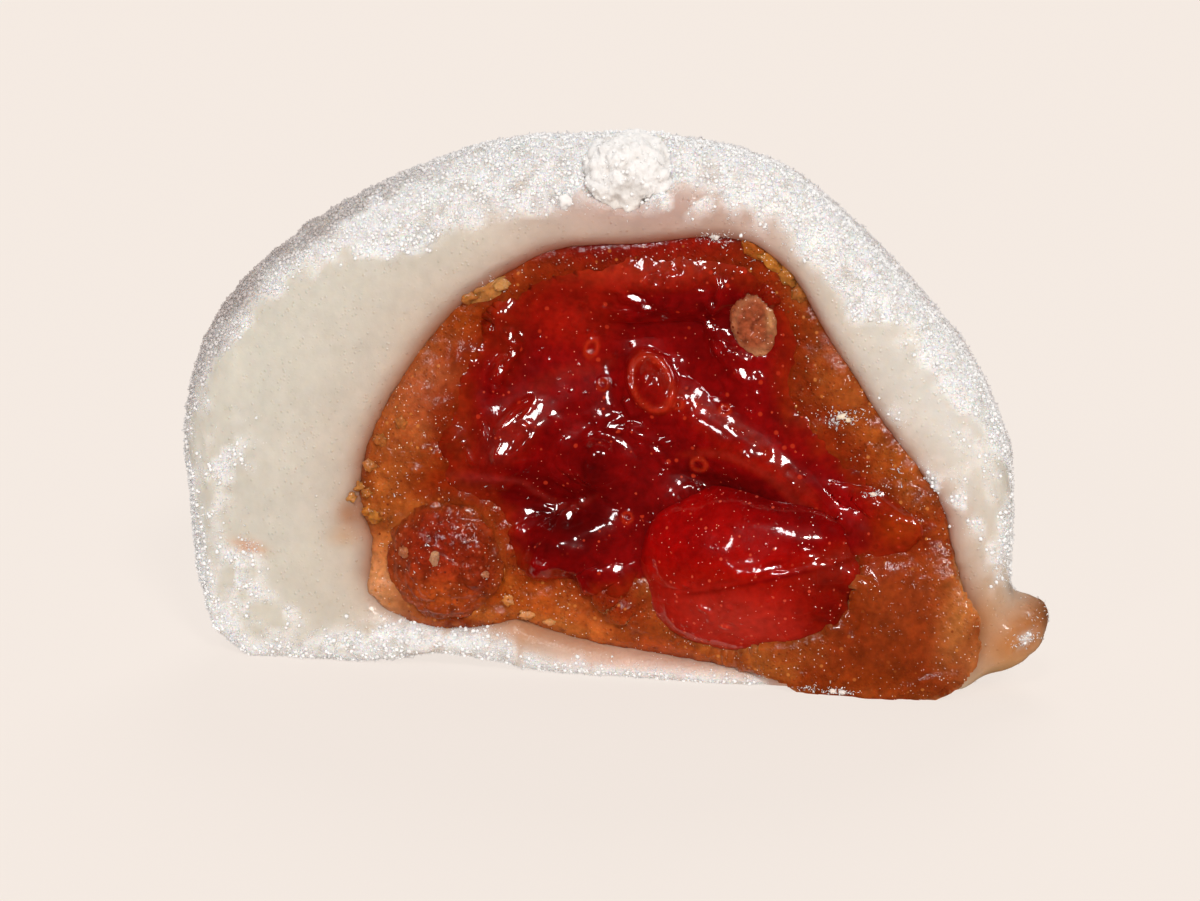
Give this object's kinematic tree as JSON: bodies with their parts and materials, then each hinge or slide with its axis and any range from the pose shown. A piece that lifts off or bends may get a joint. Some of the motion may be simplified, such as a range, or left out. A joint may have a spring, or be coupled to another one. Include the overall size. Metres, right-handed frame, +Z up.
{
  "type": "filled rice cake half",
  "caption": "Half of a soft filled rice cake cut upright through the middle, standing on its flat base with dough skin, bean paste, jam and a fruit piece in the open cut",
  "frame": {"origin": "On the flat base that the cake stands on, in the middle of its width and behind the cut", "axes": "+X runs to the right along the cut, +Y points to the rounded back away from the cut, +Z is up. The cut face looks along -Y"},
  "size_m": [0.0538, 0.0287, 0.0329],
  "materials": {
    "rice_dough": "soft steamed rice dough, moist where cut and dusted with starch outside",
    "bean_paste": "moist amber bean paste with a fine grain",
    "red_jam": "wet glossy dark red jam",
    "jellied_fruit": "wet glossy bright red fruit flesh",
    "coarse_paste": "moist coarse red brown paste",
    "paste_flake": "dull dried paste",
    "starch": "dry caked starch powder"
  },
  "bodies": {
    "root": {"rice_skin": "rice_dough", "bean_paste": "bean_paste", "red_jam": "red_jam", "fruit_piece": "jellied_fruit", "paste_lump": "coarse_paste", "paste_chip": "paste_flake", "starch_clump": "starch"}
  },
  "joints": []
}
